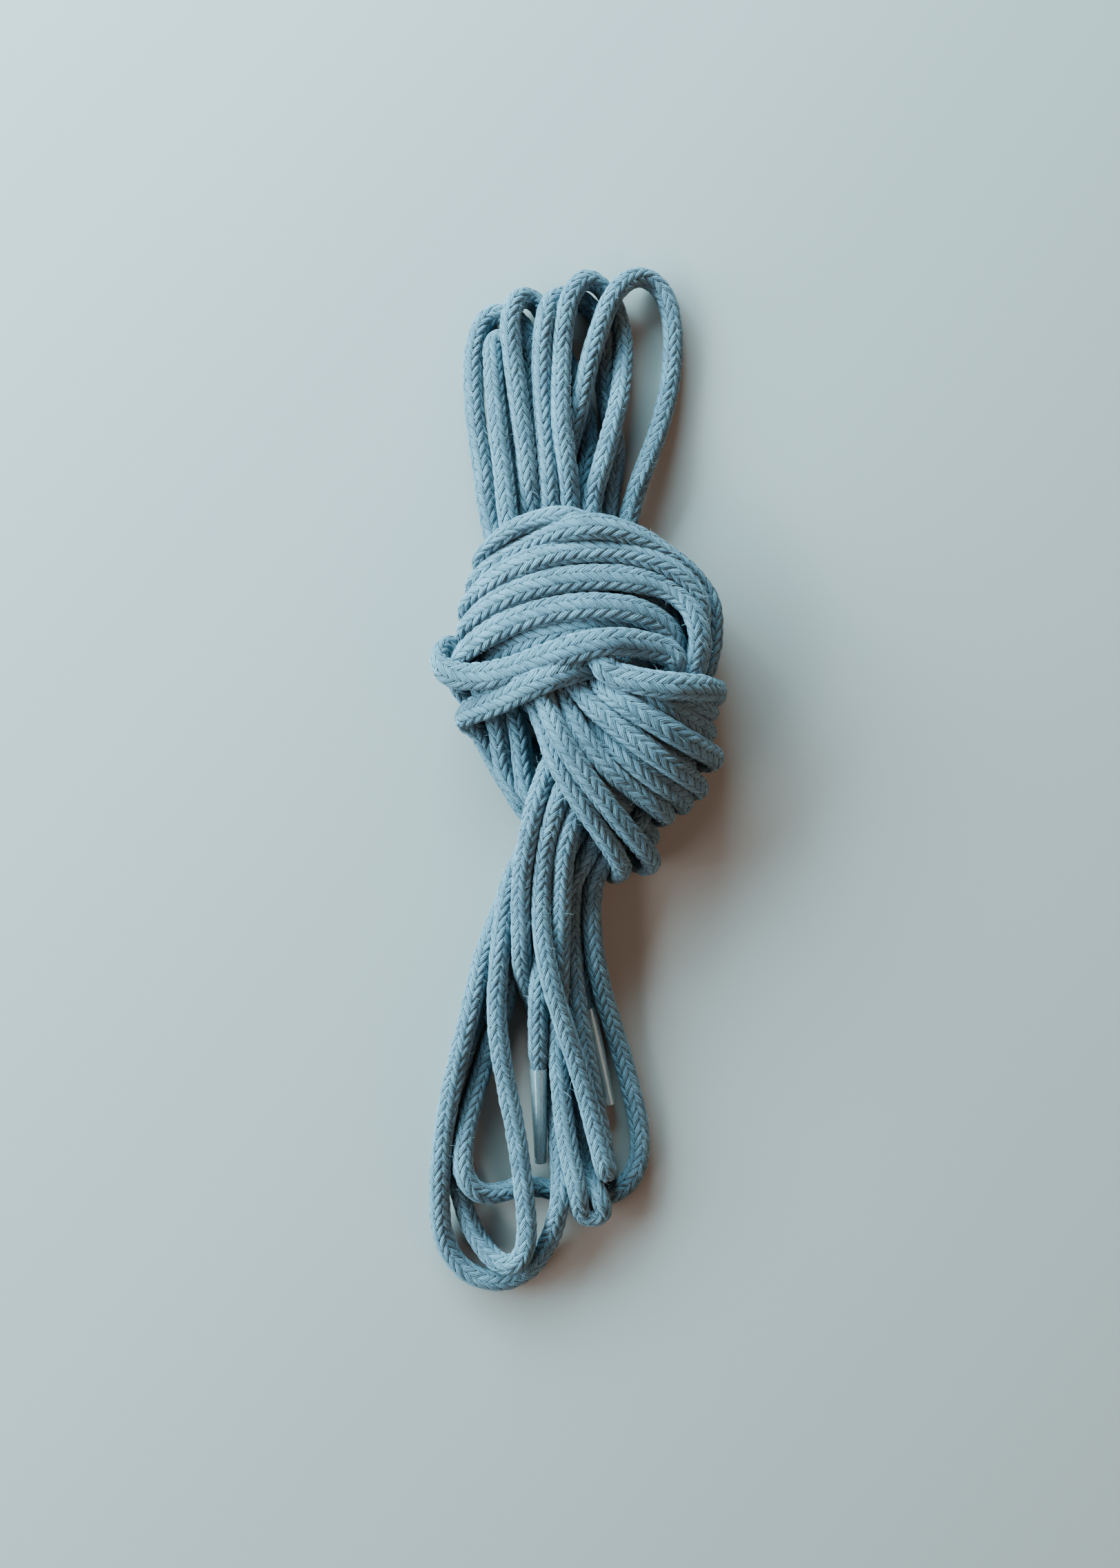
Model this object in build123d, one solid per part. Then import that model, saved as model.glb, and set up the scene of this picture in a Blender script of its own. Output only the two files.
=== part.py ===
from build123d import *
import math
import os

# A long round braided lace, folded to and fro into a bundle of twelve legs and tied on itself in
# one overhand knot. It lies flat on its back: +Z up, +Y along the bundle towards the six top loops,
# and the origin on the knot's underside.

LACE_D = 4.6
LACE_R = LACE_D / 2
AGLET_LENGTH = 22.8
AGLET_MOUTH_R = 2.1
AGLET_TIP_R = 1.4
AGLET_WALL = 0.3
ARC_SHARE = 0.45
TOP_FACE_Y = 65.0
NECK_FACE_Y = -22.0
GROUND_SIZE = 300.0

# The knot's outline, one row for each slice across the bundle: y, lowest x, highest x, highest z.
KNOT_SLICES = [
    (NECK_FACE_Y, -14.0, 17.4, 14.8),
    (-13.0, -11.6, 25.0, 20.0),
    (-3.0, -14.0, 32.6, 23.8),
    (8.0, -18.6, 36.8, 25.4),
    (19.0, -25.0, 37.4, 26.0),
    (30.0, -28.6, 36.4, 26.0),
    (42.0, -25.6, 34.4, 24.0),
    (53.0, -22.4, 29.4, 20.6),
    (TOP_FACE_Y, -19.4, 20.6, 13.6),
]
KNOT_WIDEST_HEIGHT = 0.36

# Each loop leaves the knot and comes back to it. The points are the corners of its centre line.
TOP_LOOPS = {
    "top_loop_1": [
        (-16.9, TOP_FACE_Y, 7), (-17.3, 70.2, 6.5), (-18.4, 76.5, 5.6), (-19.4, 84, 4.8), (-20, 92, 3.8),
        (-19.8, 100, 2.7), (-17.5, 107.3, 2.4), (-12.8, 108.9, 2.4), (-8.2, 105.4, 2.4), (-6.2, 98.8, 2.4),
        (-5.9, 92, 2.4), (-6, 84.5, 2.4), (-5.8, 77, 2.5), (-5.3, 70.4, 3), (-4.8, TOP_FACE_Y, 3.3),
    ],
    "top_loop_2": [
        (-12.3, TOP_FACE_Y, 8), (-12.8, 70.2, 7.7), (-13.7, 77.2, 7), (-14.5, 85, 6.2), (-15.1, 92.3, 5.4),
        (-15.5, 97.4, 4.2), (-15.8, 102.2, 2.7), (-10.6, 102.6, 2.4), (-10.9, 96.8, 2.4),
        (-11.2, 90, 2.4), (-11.3, 83, 2.4), (-11, 76.4, 2.5), (-10.3, 70.3, 3), (-9.6, TOP_FACE_Y, 3.3),
    ],
    "top_loop_3": [
        (-7, TOP_FACE_Y, 8), (-7.3, 70.2, 7.8), (-8, 77.2, 7.4), (-9.1, 85, 7.1), (-10.1, 92.5, 7),
        (-11, 99.2, 7.1), (-11.5, 105.5, 7.3), (-9.9, 110.7, 5.6), (-6.7, 112, 2.8), (-3.8, 109, 2.4),
        (-1.2, 103.8, 2.4), (1.2, 98.3, 2.4), (3.3, 92.8, 2.4), (5.2, 87.3, 2.4), (6.4, 81.9, 2.4),
        (6.5, 76.2, 2.5), (5.6, 70.5, 3), (4.7, TOP_FACE_Y, 3.3),
    ],
    "top_loop_4": [
        (-2.3, TOP_FACE_Y, 8), (-2.6, 70.2, 7.8), (-3, 77.2, 7.5), (-3.7, 85, 7.2), (-4.2, 92.5, 7),
        (-4.1, 99.6, 7), (-3.3, 105.6, 7), (-1.8, 110.4, 5.4), (1.4, 112.4, 2.6), (5.4, 111.2, 2.4),
        (8.6, 108.2, 2.4), (10.3, 103.6, 2.4), (10.5, 98.4, 2.4), (10.2, 93.2, 2.4), (10.8, 88, 2.4),
        (12, 82.6, 2.4), (12.8, 76.8, 2.4), (12.3, 70.6, 2.7), (11.3, TOP_FACE_Y, 3.3),
    ],
    "top_loop_5": [
        (2.2, TOP_FACE_Y, 8.3), (1.8, 70.2, 8.8), (0.9, 76.6, 9.3), (0.2, 83.4, 9.3), (0.2, 90.6, 8.2),
        (0.4, 97.6, 7.2), (0.7, 104, 7.2), (1.9, 110.2, 7.4), (4.8, 115, 6), (8.6, 115, 4),
        (12, 111.2, 2.4), (13.7, 106, 2.4), (14.5, 100.1, 2.8), (14.3, 93.7, 4.6), (13.4, 87, 6.7),
        (11.9, 80.8, 7.3), (10.4, 75.3, 7.8), (8.9, 70.1, 8), (7.3, TOP_FACE_Y, 8),
    ],
    "top_loop_6": [
        (0, TOP_FACE_Y, 3.3), (0.5, 70, 3.5), (1.6, 75, 4.3), (3, 80.6, 6), (4.6, 86.4, 7.2),
        (6, 92.9, 7.2), (7.7, 99.5, 7.1), (9.7, 105.6, 7.2), (12.1, 111.3, 7.4), (15.6, 115.3, 5.2),
        (19.4, 116.6, 3.2), (23.2, 114.3, 2.4), (25.5, 109.2, 2.4), (26.1, 102.2, 2.4),
        (25.8, 95.3, 2.4), (24.6, 88.3, 2.7), (22.7, 81.4, 3.6), (20.5, 75.2, 4.5), (18.3, 69.7, 5.5),
        (16.8, TOP_FACE_Y, 6),
    ],
}

BOTTOM_LOOPS = {
    "bottom_loop_1": [
        (-11, NECK_FACE_Y, 2.4), (-12.8, -27, 2.6), (-15.2, -32.9, 3.4), (-17.6, -39.6, 4.9),
        (-19.2, -46.5, 6.3), (-20.8, -53.3, 7), (-22.7, -60.7, 7), (-24.5, -68.5, 7), (-25.9, -75.6, 7),
        (-26.8, -82.4, 6.8), (-27.3, -89.2, 6.2), (-27.6, -96.2, 4.8), (-27.2, -102.8, 3.2),
        (-25.2, -108.5, 2.5), (-21.4, -112.6, 2.4), (-16.4, -114.5, 2.4), (-11, -114.1, 2.4),
        (-6.5, -111.3, 2.4), (-3.2, -106.5, 3), (-1.1, -100.8, 5.4), (0, -95, 7.6), (0.2, -89.6, 4.9),
        (-0.3, -84.4, 3.2), (-0.9, -79.2, 2.5), (-1.3, -73.6, 2.4), (-1.6, -68, 2.4), (-2.2, -62.6, 2.4),
        (-3.5, -57.5, 2.4), (-5.2, -52.4, 2.6), (-7, -47.7, 4.2), (-8.2, -43, 6.7), (-8.6, -38.2, 9.7),
        (-8.7, -33, 11.2), (-8.8, -27.2, 11.5), (-8.6, NECK_FACE_Y, 11.5),
    ],
    "bottom_loop_2": [
        (-11.2, NECK_FACE_Y, 7), (-12.2, -27, 7.2), (-12.9, -32.6, 7.6), (-13.5, -38.3, 7.9),
        (-14.1, -44, 8), (-14.4, -49.8, 7.9), (-14.2, -55.3, 7.9), (-13.5, -60.7, 7.6),
        (-12.5, -66.5, 7), (-11.4, -72.5, 6.6), (-10.2, -78.4, 6.5), (-9.2, -84.2, 6.8), (-8.5, -90, 7.1),
        (-7.8, -95.9, 7.1), (-7.4, -101.6, 7.1), (-8, -106.4, 7.2), (-10.7, -109.6, 6.8),
        (-14.7, -109.2, 4.6), (-18, -106.1, 2.8), (-20.6, -101.7, 2.4), (-22.3, -96.8, 2.4),
        (-23.6, -91.8, 2.4), (-24.5, -86.3, 2.4), (-25, -80.4, 2.4), (-24.7, -73.9, 2.4),
        (-23.3, -66.7, 2.4), (-21.2, -59.3, 2.4), (-18.8, -52, 2.4), (-16.1, -44.9, 2.4),
        (-13.2, -38, 2.4), (-10.2, -32, 2.4), (-8, -26.8, 2.4), (-6.4, NECK_FACE_Y, 2.4),
    ],
    "bottom_loop_3": [
        (7.6, NECK_FACE_Y, 7.2), (7.1, -27, 7.1), (7.2, -32.9, 7), (7.9, -39, 6.6), (9.1, -45.2, 5.5),
        (10.8, -51.4, 4.1), (12.7, -57.5, 3), (14.6, -63.6, 2.4), (16.3, -70, 2.4), (17.8, -76.4, 2.4),
        (18.6, -82.4, 2.4), (18, -87.9, 2.4), (15.5, -92.3, 2.4), (11.4, -94.9, 2.4), (6.5, -95.3, 2.4),
        (1.5, -94.5, 2.4), (-3.5, -93, 2.4), (-8.4, -92.4, 2.4), (-12.9, -93.8, 3), (-17.2, -94, 4.8),
        (-20.6, -91.5, 6.7), (-22.3, -87.1, 7), (-22, -81.7, 6), (-20.8, -75.6, 4.6),
        (-19.1, -69.5, 3.5), (-17.2, -63.6, 3), (-15.3, -58.1, 3), (-13.5, -53, 3), (-12.2, -48, 3.3),
        (-11.2, -42.6, 4.3), (-10.2, -37, 5.7), (-8.9, -31.5, 6.5), (-7.7, -26.5, 6.9),
        (-6.6, NECK_FACE_Y, 6.9),
    ],
    "bottom_loop_4": [
        (-4, NECK_FACE_Y, 11.5), (-4.3, -27, 11.6), (-4, -32.8, 11.9), (-3.2, -38.6, 12.5),
        (-2, -44.4, 12.9), (-0.4, -49.9, 12.4), (1.5, -55.8, 11.2), (3.6, -62.2, 9.9), (5.6, -69, 8.7),
        (7.3, -75.6, 8), (8.8, -82, 8), (10.1, -88.4, 8.1), (10.3, -88.9, 2.4), (9.9, -83.2, 2.4),
        (8.8, -76.9, 3), (7.6, -70.4, 4.4), (6.2, -63.6, 5.2), (5, -57, 5.6), (4, -51, 5.8),
        (3.3, -45.1, 5.8), (2.9, -39.2, 5.9), (2.7, -33.3, 6.2), (2.7, -27.4, 6.6),
        (2.8, NECK_FACE_Y, 6.9),
    ],
    "bottom_loop_5": [
        (0.5, NECK_FACE_Y, 11.3), (0.3, -27, 11.2), (0.1, -32.6, 10.8), (-0.1, -37.9, 10),
        (-0.3, -43, 9), (-0.4, -47.7, 8.2), (-0.4, -52.2, 7.5), (-0.5, -56.6, 7), (-0.5, -61, 6.9),
        (-0.1, -65.6, 6.9), (0.4, -70.7, 6.9), (0.9, -76.1, 7), (1.7, -81.8, 7.3), (2.9, -87.4, 8),
        (4.2, -92.4, 8.3), (4.7, -98.9, 5.6), (10.3, -98.3, 5.6), (8.9, -92.8, 7.8), (6.4, -88.4, 3.2),
        (5.3, -84, 2.4), (4.5, -79.6, 2.4), (3.9, -75, 2.4), (3.3, -70, 2.4), (2.7, -64.8, 2.4),
        (2.1, -59.4, 2.4), (1.4, -53.6, 2.4), (0.6, -47.6, 2.4), (-0.2, -41.5, 2.4), (-0.8, -35.2, 2.4),
        (-1.3, -28.6, 2.4), (-1.6, NECK_FACE_Y, 2.4),
    ],
}

# The two free ends. The last point of each is where the aglet starts.
TAILS = {
    "tail_1": [
        (-2.1, NECK_FACE_Y, 6.9), (-2.6, -27.1, 7), (-3.4, -32.9, 7.2), (-4.1, -38.4, 7.8),
        (-4.7, -43.4, 8.6), (-4.9, -48.3, 8.9), (-5, -53.6, 8.3), (-4.9, -59.2, 7.1), (-4.9, -64.6, 5.9),
    ],
    "tail_2": [
        (3.6, NECK_FACE_Y, 2.4), (4.6, -27, 2.4), (5.4, -32.6, 2.4), (5.4, -39, 2.4),
        (5.6, -45.6, 2.4), (6.4, -51.6, 2.4),
    ],
}
AGLET_TIPS = {
    "tail_1": (-4.5, -87.3, 2.2),
    "tail_2": (11, -71.8, 1.8),
}


def corner_radii(points):
    """One radius for each inner corner, as large as its two runs allow."""
    radii = []
    for before, corner, after in zip(points, points[1:], points[2:]):
        run_in = Vector(*corner) - Vector(*before)
        run_out = Vector(*after) - Vector(*corner)
        half_turn = math.radians(run_in.get_angle(run_out)) / 2
        shorter = min(run_in.length, run_out.length)
        radii.append(ARC_SHARE * shorter / math.tan(half_turn))
    return radii


def lace_tube(name, points):
    """A plain round tube along straight runs joined by tangent arcs."""
    radii = corner_radii(points)
    path = FilletPolyline(*points, radius=radii)
    start = Plane(origin=path @ 0, z_dir=path % 0)
    tube = sweep(start * Circle(LACE_R), path=path)
    expected = math.pi * LACE_R**2 * path.length
    print(
        f"{name}: length {path.length:.1f}, smallest radius {min(radii):.1f}, "
        f"volume {tube.volume:.0f} of {expected:.0f}"
    )
    return tube, path.length


def knot_slice(y, x_low, x_high, z_high):
    """One oval slice of the knot, widest a third of the way up, which reaches below the ground."""
    middle = Vector((x_low + x_high) / 2, y, KNOT_WIDEST_HEIGHT * z_high)
    plane = Plane(origin=middle, x_dir=(1, 0, 0), z_dir=(0, 1, 0))
    return plane * Ellipse((x_high - x_low) / 2, z_high - middle.Z)


def knot():
    """The overhand knot's outer shape, lofted through its slices and cut flat where it rests."""
    body = loft([knot_slice(*row) for row in KNOT_SLICES])
    ground = Pos(0, 0, -GROUND_SIZE / 2) * Box(GROUND_SIZE, GROUND_SIZE, GROUND_SIZE)
    return body - ground


def tapered_piece(start, tip, mouth_r, tip_r):
    """A solid cone frustum from a start point towards a tip point."""
    axis = Vector(*tip) - Vector(*start)
    place = Plane(origin=start, z_dir=axis.normalized())
    wide = place * Circle(mouth_r)
    narrow = place.offset(AGLET_LENGTH) * Circle(tip_r)
    return loft([wide, narrow])


def aglet_and_end(start, tip):
    """The clear tube round a free end, and the pressed lace end inside it."""
    outer = tapered_piece(start, tip, AGLET_MOUTH_R, AGLET_TIP_R)
    inner = tapered_piece(start, tip, AGLET_MOUTH_R - AGLET_WALL, AGLET_TIP_R - AGLET_WALL)
    return outer - inner, inner


os.makedirs("parts", exist_ok=True)

knot_solid = knot()
export_step(knot_solid, "parts/knot.step")
print(f"knot: volume {knot_solid.volume:.0f}")

loose_length = 0
for name, points in {**TOP_LOOPS, **BOTTOM_LOOPS, **TAILS}.items():
    tube, length = lace_tube(name, points)
    loose_length += length
    export_step(tube, f"parts/{name}.step")
print(f"lace outside the knot: {loose_length:.0f}")

for number, name in enumerate(TAILS, start=1):
    aglet, lace_end = aglet_and_end(TAILS[name][-1], AGLET_TIPS[name])
    export_step(aglet, f"parts/aglet_{number}.step")
    export_step(lace_end, f"parts/lace_end_{number}.step")
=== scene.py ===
import math

import bpy
import numpy as np
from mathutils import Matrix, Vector


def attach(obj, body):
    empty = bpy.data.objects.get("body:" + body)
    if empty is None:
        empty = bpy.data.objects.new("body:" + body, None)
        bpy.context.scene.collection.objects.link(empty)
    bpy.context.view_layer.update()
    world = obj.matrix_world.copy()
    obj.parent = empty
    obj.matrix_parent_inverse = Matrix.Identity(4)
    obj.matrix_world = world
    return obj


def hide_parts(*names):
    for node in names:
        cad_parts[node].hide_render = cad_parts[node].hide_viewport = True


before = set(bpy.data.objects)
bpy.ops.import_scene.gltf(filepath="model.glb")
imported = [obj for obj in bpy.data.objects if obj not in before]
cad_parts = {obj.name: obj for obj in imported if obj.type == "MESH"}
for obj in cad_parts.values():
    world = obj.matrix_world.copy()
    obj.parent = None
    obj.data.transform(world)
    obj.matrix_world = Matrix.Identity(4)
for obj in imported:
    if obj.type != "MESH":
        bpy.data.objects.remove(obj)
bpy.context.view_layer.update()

# ---------------------------------------------------------------------------------------------
# Sizes, in millimetres. Everything is in the row frame: the knot's underside is at the origin.

LACE_D = 4.6
LACE_R = LACE_D / 2
CORE_R = 1.78
AGLET_LENGTH = 22.8
TOP_FACE_Y = 65.0
NECK_FACE_Y = -22.0
CAMERA_HEIGHT = 320.0

# ---------------------------------------------------------------------------------------------
# The loops and tails: the route's points as the CAD model has them.

TOP_LOOPS = {
    "top_loop_1": [
        (-16.9, TOP_FACE_Y, 7), (-17.3, 70.2, 6.5), (-18.4, 76.5, 5.6), (-19.4, 84, 4.8), (-20, 92, 3.8),
        (-19.8, 100, 2.7), (-17.5, 107.3, 2.4), (-12.8, 108.9, 2.4), (-8.2, 105.4, 2.4), (-6.2, 98.8, 2.4),
        (-5.9, 92, 2.4), (-6, 84.5, 2.4), (-5.8, 77, 2.5), (-5.3, 70.4, 3), (-4.8, TOP_FACE_Y, 3.3),
    ],
    "top_loop_2": [
        (-12.3, TOP_FACE_Y, 8), (-12.8, 70.2, 7.7), (-13.7, 77.2, 7), (-14.5, 85, 6.2), (-15.1, 92.3, 5.4),
        (-15.5, 97.4, 4.2), (-15.8, 102.2, 2.7), (-10.6, 102.6, 2.4), (-10.9, 96.8, 2.4),
        (-11.2, 90, 2.4), (-11.3, 83, 2.4), (-11, 76.4, 2.5), (-10.3, 70.3, 3), (-9.6, TOP_FACE_Y, 3.3),
    ],
    "top_loop_3": [
        (-7, TOP_FACE_Y, 8), (-7.3, 70.2, 7.8), (-8, 77.2, 7.4), (-9.1, 85, 7.1), (-10.1, 92.5, 7),
        (-11, 99.2, 7.1), (-11.5, 105.5, 7.3), (-9.9, 110.7, 5.6), (-6.7, 112, 2.8), (-3.8, 109, 2.4),
        (-1.2, 103.8, 2.4), (1.2, 98.3, 2.4), (3.3, 92.8, 2.4), (5.2, 87.3, 2.4), (6.4, 81.9, 2.4),
        (6.5, 76.2, 2.5), (5.6, 70.5, 3), (4.7, TOP_FACE_Y, 3.3),
    ],
    "top_loop_4": [
        (-2.3, TOP_FACE_Y, 8), (-2.6, 70.2, 7.8), (-3, 77.2, 7.5), (-3.7, 85, 7.2), (-4.2, 92.5, 7),
        (-4.1, 99.6, 7), (-3.3, 105.6, 7), (-1.8, 110.4, 5.4), (1.4, 112.4, 2.6), (5.4, 111.2, 2.4),
        (8.6, 108.2, 2.4), (10.3, 103.6, 2.4), (10.5, 98.4, 2.4), (10.2, 93.2, 2.4), (10.8, 88, 2.4),
        (12, 82.6, 2.4), (12.8, 76.8, 2.4), (12.3, 70.6, 2.7), (11.3, TOP_FACE_Y, 3.3),
    ],
    "top_loop_5": [
        (2.2, TOP_FACE_Y, 8.3), (1.8, 70.2, 8.8), (0.9, 76.6, 9.3), (0.2, 83.4, 9.3), (0.2, 90.6, 8.2),
        (0.4, 97.6, 7.2), (0.7, 104, 7.2), (1.9, 110.2, 7.4), (4.8, 115, 6), (8.6, 115, 4),
        (12, 111.2, 2.4), (13.7, 106, 2.4), (14.5, 100.1, 2.8), (14.3, 93.7, 4.6), (13.4, 87, 6.7),
        (11.9, 80.8, 7.3), (10.4, 75.3, 7.8), (8.9, 70.1, 8), (7.3, TOP_FACE_Y, 8),
    ],
    "top_loop_6": [
        (0, TOP_FACE_Y, 3.3), (0.5, 70, 3.5), (1.6, 75, 4.3), (3, 80.6, 6), (4.6, 86.4, 7.2),
        (6, 92.9, 7.2), (7.7, 99.5, 7.1), (9.7, 105.6, 7.2), (12.1, 111.3, 7.4), (15.6, 115.3, 5.2),
        (19.4, 116.6, 3.2), (23.2, 114.3, 2.4), (25.5, 109.2, 2.4), (26.1, 102.2, 2.4),
        (25.8, 95.3, 2.4), (24.6, 88.3, 2.7), (22.7, 81.4, 3.6), (20.5, 75.2, 4.5), (18.3, 69.7, 5.5),
        (16.8, TOP_FACE_Y, 6),
    ],
}

BOTTOM_LOOPS = {
    "bottom_loop_1": [
        (-11, NECK_FACE_Y, 2.4), (-12.8, -27, 2.6), (-15.2, -32.9, 3.4), (-17.6, -39.6, 4.9),
        (-19.2, -46.5, 6.3), (-20.8, -53.3, 7), (-22.7, -60.7, 7), (-24.5, -68.5, 7), (-25.9, -75.6, 7),
        (-26.8, -82.4, 6.8), (-27.3, -89.2, 6.2), (-27.6, -96.2, 4.8), (-27.2, -102.8, 3.2),
        (-25.2, -108.5, 2.5), (-21.4, -112.6, 2.4), (-16.4, -114.5, 2.4), (-11, -114.1, 2.4),
        (-6.5, -111.3, 2.4), (-3.2, -106.5, 3), (-1.1, -100.8, 5.4), (0, -95, 7.6), (0.2, -89.6, 4.9),
        (-0.3, -84.4, 3.2), (-0.9, -79.2, 2.5), (-1.3, -73.6, 2.4), (-1.6, -68, 2.4), (-2.2, -62.6, 2.4),
        (-3.5, -57.5, 2.4), (-5.2, -52.4, 2.6), (-7, -47.7, 4.2), (-8.2, -43, 6.7), (-8.6, -38.2, 9.7),
        (-8.7, -33, 11.2), (-8.8, -27.2, 11.5), (-8.6, NECK_FACE_Y, 11.5),
    ],
    "bottom_loop_2": [
        (-11.2, NECK_FACE_Y, 7), (-12.2, -27, 7.2), (-12.9, -32.6, 7.6), (-13.5, -38.3, 7.9),
        (-14.1, -44, 8), (-14.4, -49.8, 7.9), (-14.2, -55.3, 7.9), (-13.5, -60.7, 7.6),
        (-12.5, -66.5, 7), (-11.4, -72.5, 6.6), (-10.2, -78.4, 6.5), (-9.2, -84.2, 6.8), (-8.5, -90, 7.1),
        (-7.8, -95.9, 7.1), (-7.4, -101.6, 7.1), (-8, -106.4, 7.2), (-10.7, -109.6, 6.8),
        (-14.7, -109.2, 4.6), (-18, -106.1, 2.8), (-20.6, -101.7, 2.4), (-22.3, -96.8, 2.4),
        (-23.6, -91.8, 2.4), (-24.5, -86.3, 2.4), (-25, -80.4, 2.4), (-24.7, -73.9, 2.4),
        (-23.3, -66.7, 2.4), (-21.2, -59.3, 2.4), (-18.8, -52, 2.4), (-16.1, -44.9, 2.4),
        (-13.2, -38, 2.4), (-10.2, -32, 2.4), (-8, -26.8, 2.4), (-6.4, NECK_FACE_Y, 2.4),
    ],
    "bottom_loop_3": [
        (7.6, NECK_FACE_Y, 7.2), (7.1, -27, 7.1), (7.2, -32.9, 7), (7.9, -39, 6.6), (9.1, -45.2, 5.5),
        (10.8, -51.4, 4.1), (12.7, -57.5, 3), (14.6, -63.6, 2.4), (16.3, -70, 2.4), (17.8, -76.4, 2.4),
        (18.6, -82.4, 2.4), (18, -87.9, 2.4), (15.5, -92.3, 2.4), (11.4, -94.9, 2.4), (6.5, -95.3, 2.4),
        (1.5, -94.5, 2.4), (-3.5, -93, 2.4), (-8.4, -92.4, 2.4), (-12.9, -93.8, 3), (-17.2, -94, 4.8),
        (-20.6, -91.5, 6.7), (-22.3, -87.1, 7), (-22, -81.7, 6), (-20.8, -75.6, 4.6),
        (-19.1, -69.5, 3.5), (-17.2, -63.6, 3), (-15.3, -58.1, 3), (-13.5, -53, 3), (-12.2, -48, 3.3),
        (-11.2, -42.6, 4.3), (-10.2, -37, 5.7), (-8.9, -31.5, 6.5), (-7.7, -26.5, 6.9),
        (-6.6, NECK_FACE_Y, 6.9),
    ],
    "bottom_loop_4": [
        (-4, NECK_FACE_Y, 11.5), (-4.3, -27, 11.6), (-4, -32.8, 11.9), (-3.2, -38.6, 12.5),
        (-2, -44.4, 12.9), (-0.4, -49.9, 12.4), (1.5, -55.8, 11.2), (3.6, -62.2, 9.9), (5.6, -69, 8.7),
        (7.3, -75.6, 8), (8.8, -82, 8), (10.1, -88.4, 8.1), (10.3, -88.9, 2.4), (9.9, -83.2, 2.4),
        (8.8, -76.9, 3), (7.6, -70.4, 4.4), (6.2, -63.6, 5.2), (5, -57, 5.6), (4, -51, 5.8),
        (3.3, -45.1, 5.8), (2.9, -39.2, 5.9), (2.7, -33.3, 6.2), (2.7, -27.4, 6.6),
        (2.8, NECK_FACE_Y, 6.9),
    ],
    "bottom_loop_5": [
        (0.5, NECK_FACE_Y, 11.3), (0.3, -27, 11.2), (0.1, -32.6, 10.8), (-0.1, -37.9, 10),
        (-0.3, -43, 9), (-0.4, -47.7, 8.2), (-0.4, -52.2, 7.5), (-0.5, -56.6, 7), (-0.5, -61, 6.9),
        (-0.1, -65.6, 6.9), (0.4, -70.7, 6.9), (0.9, -76.1, 7), (1.7, -81.8, 7.3), (2.9, -87.4, 8),
        (4.2, -92.4, 8.3), (4.7, -98.9, 5.6), (10.3, -98.3, 5.6), (8.9, -92.8, 7.8), (6.4, -88.4, 3.2),
        (5.3, -84, 2.4), (4.5, -79.6, 2.4), (3.9, -75, 2.4), (3.3, -70, 2.4), (2.7, -64.8, 2.4),
        (2.1, -59.4, 2.4), (1.4, -53.6, 2.4), (0.6, -47.6, 2.4), (-0.2, -41.5, 2.4), (-0.8, -35.2, 2.4),
        (-1.3, -28.6, 2.4), (-1.6, NECK_FACE_Y, 2.4),
    ],
}

# The two free ends. The last point of each is where the aglet starts.
TAILS = {
    "tail_1": [
        (-2.1, NECK_FACE_Y, 6.9), (-2.6, -27.1, 7), (-3.4, -32.9, 7.2), (-4.1, -38.4, 7.8),
        (-4.7, -43.4, 8.6), (-4.9, -48.3, 8.9), (-5, -53.6, 8.3), (-4.9, -59.2, 7.1), (-4.9, -64.6, 5.9),
    ],
    "tail_2": [
        (3.6, NECK_FACE_Y, 2.4), (4.6, -27, 2.4), (5.4, -32.6, 2.4), (5.4, -39, 2.4),
        (5.6, -45.6, 2.4), (6.4, -51.6, 2.4),
    ],
}
AGLET_TIPS = {
    "tail_1": (-4.5, -87.3, 2.2),
    "tail_2": (11, -71.8, 1.8),
}

# ---------------------------------------------------------------------------------------------
# The knot. Each of the twelve legs goes through it four times: down the front from the top neck
# ("slope"), back up behind it ("back"), over the front as a band ("band"), and under the slope to
# the bottom neck ("inner"). A point here is (x, y, height) where x and y are the place on the
# ground that the point covers as seen from the camera above, so seen() draws it in.

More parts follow.
